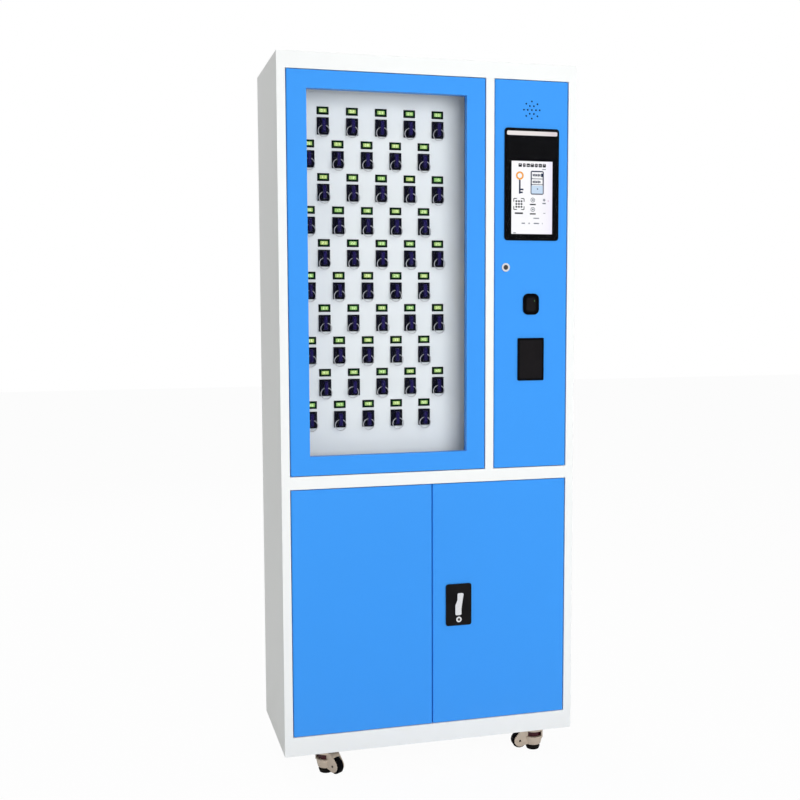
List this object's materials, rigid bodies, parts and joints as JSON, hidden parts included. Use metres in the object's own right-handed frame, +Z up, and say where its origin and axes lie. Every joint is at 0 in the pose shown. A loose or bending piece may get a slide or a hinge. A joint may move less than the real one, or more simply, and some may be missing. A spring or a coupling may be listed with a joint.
{
  "type": "key management cabinet",
  "caption": "Free-standing sheet-steel cabinet with a glazed door over electronic key slots, a terminal door, a two-door cupboard and levelling casters.",
  "frame": {"origin": "on the floor under the middle of the cabinet", "axes": "+Z up, -Y towards the front with the doors, +X towards the control door on the right"},
  "size_m": [0.8, 0.3603, 1.868],
  "materials": {
    "white_paint": "satin white powder coat",
    "grey_paint": "satin light grey powder coat",
    "blue_paint": "satin blue powder coat",
    "black_plastic": "satin black moulded plastic",
    "gloss_black": "polished black",
    "black_rubber": "matt black rubber",
    "clear_glass": "clear float glass",
    "chrome": "polished chrome plate",
    "zinc": "zinc plated steel",
    "violet_plastic": "glossy violet-blue plastic",
    "beige_paint": "beige-grey cast housing",
    "red_plastic": "dark red moulded plastic",
    "circuit_board": "black moulded sockets and display bezels on a circuit board"
  },
  "bodies": {
    "cabinet": {"front_frame": "white_paint", "left_side_panel": "grey_paint", "right_side_panel": "grey_paint", "top_panel": "white_paint", "base_box": "white_paint", "back_panel": "grey_paint", "middle_shelf": "white_paint", "partition": "white_paint", "cupboard_shelf": "white_paint", "key_panel": "white_paint", "key_board_1": "circuit_board", "key_board_2": "circuit_board", "key_board_3": "circuit_board", "key_board_4": "circuit_board", "key_board_5": "circuit_board", "electric_lock": "zinc", "power_supply": "zinc", "power_inlet": "black_plastic", "caster_front_left_plate": "zinc", "caster_front_right_plate": "zinc", "caster_rear_left_plate": "zinc", "caster_rear_right_plate": "zinc"},
    "glazed_door": {"glazed_door_frame": "blue_paint", "door_glass": "clear_glass", "glass_gasket": "black_rubber", "door_striker": "zinc"},
    "control_door": {"control_door": "blue_paint", "terminal_housing": "black_plastic", "terminal_glass": "gloss_black", "speaker": "black_plastic", "fingerprint_reader": "black_plastic", "card_reader": "gloss_black", "cam_lock_body": "chrome"},
    "cam_lock_plug": {"cam_lock_plug": "chrome"},
    "lower_left_door": {"lower_left_door": "blue_paint"},
    "lower_right_door": {"lower_right_door": "blue_paint", "latch_plate": "black_plastic"},
    "latch_lever": {"latch_lever": "chrome"},
    "latch_key_cylinder": {"latch_key_cylinder": "chrome"},
    "upper_lock_rod": {"upper_lock_rod": "zinc"},
    "lower_lock_rod": {"lower_lock_rod": "zinc"},
    "key_fob_1": {"key_fob_1": "violet_plastic"},
    "key_fob_2": {"key_fob_2": "violet_plastic"},
    "key_fob_3": {"key_fob_3": "violet_plastic"},
    "caster_front_left": {"caster_front_left_housing": "beige_paint"},
    "caster_front_left_wheel": {"caster_front_left_wheel": "black_plastic"},
    "caster_front_left_foot": {"caster_front_left_foot": "black_rubber"},
    "caster_front_left_thumb_wheel": {"caster_front_left_thumb_wheel": "red_plastic"},
    "caster_front_right": {"caster_front_right_housing": "beige_paint"},
    "caster_front_right_wheel": {"caster_front_right_wheel": "black_plastic"},
    "caster_front_right_foot": {"caster_front_right_foot": "black_rubber"},
    "caster_front_right_thumb_wheel": {"caster_front_right_thumb_wheel": "red_plastic"},
    "caster_rear_left": {"caster_rear_left_housing": "beige_paint"},
    "caster_rear_left_wheel": {"caster_rear_left_wheel": "black_plastic"},
    "caster_rear_left_foot": {"caster_rear_left_foot": "black_rubber"},
    "caster_rear_left_thumb_wheel": {"caster_rear_left_thumb_wheel": "red_plastic"},
    "caster_rear_right": {"caster_rear_right_housing": "beige_paint"},
    "caster_rear_right_wheel": {"caster_rear_right_wheel": "black_plastic"},
    "caster_rear_right_foot": {"caster_rear_right_foot": "black_rubber"},
    "caster_rear_right_thumb_wheel": {"caster_rear_right_thumb_wheel": "red_plastic"}
  },
  "joints": [
    {"name": "glazed_door_hinge", "type": "hinge", "parent": "cabinet", "child": "glazed_door", "pos_m": [-0.37, -0.169, 1.3145], "axis": [0, 0, -1], "range_deg": [0, 105]},
    {"name": "control_door_hinge", "type": "hinge", "parent": "cabinet", "child": "control_door", "pos_m": [0.37, -0.169, 1.3145], "axis": [0, 0, 1], "range_deg": [0, 105]},
    {"name": "lower_left_door_hinge", "type": "hinge", "parent": "cabinet", "child": "lower_left_door", "pos_m": [-0.37, -0.169, 0.444], "axis": [0, 0, -1], "range_deg": [0, 105]},
    {"name": "lower_right_door_hinge", "type": "hinge", "parent": "cabinet", "child": "lower_right_door", "pos_m": [0.37, -0.169, 0.444], "axis": [0, 0, 1], "range_deg": [0, 105]},
    {"name": "cam_lock_turn", "type": "hinge", "parent": "control_door", "child": "cam_lock_plug", "pos_m": [0.2024, -0.175, 1.338], "axis": [0, 1, 0], "range_deg": [0, 90]},
    {"name": "latch_lever_turn", "type": "hinge", "parent": "lower_right_door", "child": "latch_lever", "pos_m": [0.0725, -0.175, 0.443], "axis": [0, 1, 0], "range_deg": [0, 90]},
    {"name": "latch_key_turn", "type": "hinge", "parent": "lower_right_door", "child": "latch_key_cylinder", "pos_m": [0.0725, -0.175, 0.4], "axis": [0, 1, 0], "range_deg": [0, 90]},
    {"name": "upper_lock_rod_slide", "type": "slide", "parent": "lower_right_door", "child": "upper_lock_rod", "axis": [0, 0, 1], "range_m": [0, 0.012]},
    {"name": "lower_lock_rod_slide", "type": "slide", "parent": "lower_right_door", "child": "lower_lock_rod", "axis": [0, 0, -1], "range_m": [0, 0.012]},
    {"name": "key_fob_1_pull", "type": "slide", "parent": "cabinet", "child": "key_fob_1", "axis": [0, -1, 0], "range_m": [0, 0.025]},
    {"name": "key_fob_2_pull", "type": "slide", "parent": "cabinet", "child": "key_fob_2", "axis": [0, -1, 0], "range_m": [0, 0.025]},
    {"name": "key_fob_3_pull", "type": "slide", "parent": "cabinet", "child": "key_fob_3", "axis": [0, -1, 0], "range_m": [0, 0.025]},
    {"name": "caster_front_left_swivel", "type": "hinge", "parent": "cabinet", "child": "caster_front_left", "pos_m": [-0.283, -0.127, 0.06], "axis": [0, 0, 1], "continuous": true},
    {"name": "caster_front_left_roll", "type": "hinge", "parent": "caster_front_left", "child": "caster_front_left_wheel", "pos_m": [-0.2624, -0.16129, 0.0265], "axis": [0.8572, 0.515, 0], "continuous": true},
    {"name": "caster_front_left_thumb_turn", "type": "hinge", "parent": "caster_front_left", "child": "caster_front_left_thumb_wheel", "pos_m": [-0.283, -0.127, 0.045], "axis": [0, 0, 1], "range_deg": [-1225, 1441]},
    {"name": "caster_front_left_foot_lift", "type": "slide", "parent": "caster_front_left", "child": "caster_front_left_foot", "axis": [0, 0, 1], "range_m": [-0.0051, 0.006]},
    {"name": "caster_front_right_swivel", "type": "hinge", "parent": "cabinet", "child": "caster_front_right", "pos_m": [0.307, -0.127, 0.06], "axis": [0, 0, 1], "continuous": true},
    {"name": "caster_front_right_roll", "type": "hinge", "parent": "caster_front_right", "child": "caster_front_right_wheel", "pos_m": [0.26715, -0.12351, 0.0265], "axis": [-0.0872, -0.9962, 0], "continuous": true},
    {"name": "caster_front_right_thumb_turn", "type": "hinge", "parent": "caster_front_right", "child": "caster_front_right_thumb_wheel", "pos_m": [0.307, -0.127, 0.045], "axis": [0, 0, 1], "range_deg": [-1225, 1441]},
    {"name": "caster_front_right_foot_lift", "type": "slide", "parent": "caster_front_right", "child": "caster_front_right_foot", "axis": [0, 0, 1], "range_m": [-0.0051, 0.006]},
    {"name": "caster_rear_left_swivel", "type": "hinge", "parent": "cabinet", "child": "caster_rear_left", "pos_m": [-0.283, 0.127, 0.06], "axis": [0, 0, 1], "continuous": true},
    {"name": "caster_rear_left_roll", "type": "hinge", "parent": "caster_rear_left", "child": "caster_rear_left_wheel", "pos_m": [-0.32059, 0.11332, 0.0265], "axis": [0.342, -0.9397, 0], "continuous": true},
    {"name": "caster_rear_left_thumb_turn", "type": "hinge", "parent": "caster_rear_left", "child": "caster_rear_left_thumb_wheel", "pos_m": [-0.283, 0.127, 0.045], "axis": [0, 0, 1], "range_deg": [-1225, 1441]},
    {"name": "caster_rear_left_foot_lift", "type": "slide", "parent": "caster_rear_left", "child": "caster_rear_left_foot", "axis": [0, 0, 1], "range_m": [-0.0051, 0.006]},
    {"name": "caster_rear_right_swivel", "type": "hinge", "parent": "cabinet", "child": "caster_rear_right", "pos_m": [0.307, 0.127, 0.06], "axis": [0, 0, 1], "continuous": true},
    {"name": "caster_rear_right_roll", "type": "hinge", "parent": "caster_rear_right", "child": "caster_rear_right_wheel", "pos_m": [0.34459, 0.11332, 0.0265], "axis": [0.342, 0.9397, 0], "continuous": true},
    {"name": "caster_rear_right_thumb_turn", "type": "hinge", "parent": "caster_rear_right", "child": "caster_rear_right_thumb_wheel", "pos_m": [0.307, 0.127, 0.045], "axis": [0, 0, 1], "range_deg": [-1225, 1441]},
    {"name": "caster_rear_right_foot_lift", "type": "slide", "parent": "caster_rear_right", "child": "caster_rear_right_foot", "axis": [0, 0, 1], "range_m": [-0.0051, 0.006]}
  ],
  "couplings": [
    {"joint": "latch_lever_turn", "follows": "upper_lock_rod_slide", "rad_per_m": 130.9},
    {"joint": "lower_lock_rod_slide", "follows": "upper_lock_rod_slide", "ratio": 1},
    {"joint": "caster_front_left_thumb_turn", "follows": "caster_front_left_foot_lift", "rad_per_m": 4188.8},
    {"joint": "caster_front_right_thumb_turn", "follows": "caster_front_right_foot_lift", "rad_per_m": 4188.8},
    {"joint": "caster_rear_left_thumb_turn", "follows": "caster_rear_left_foot_lift", "rad_per_m": 4188.8},
    {"joint": "caster_rear_right_thumb_turn", "follows": "caster_rear_right_foot_lift", "rad_per_m": 4188.8}
  ]
}
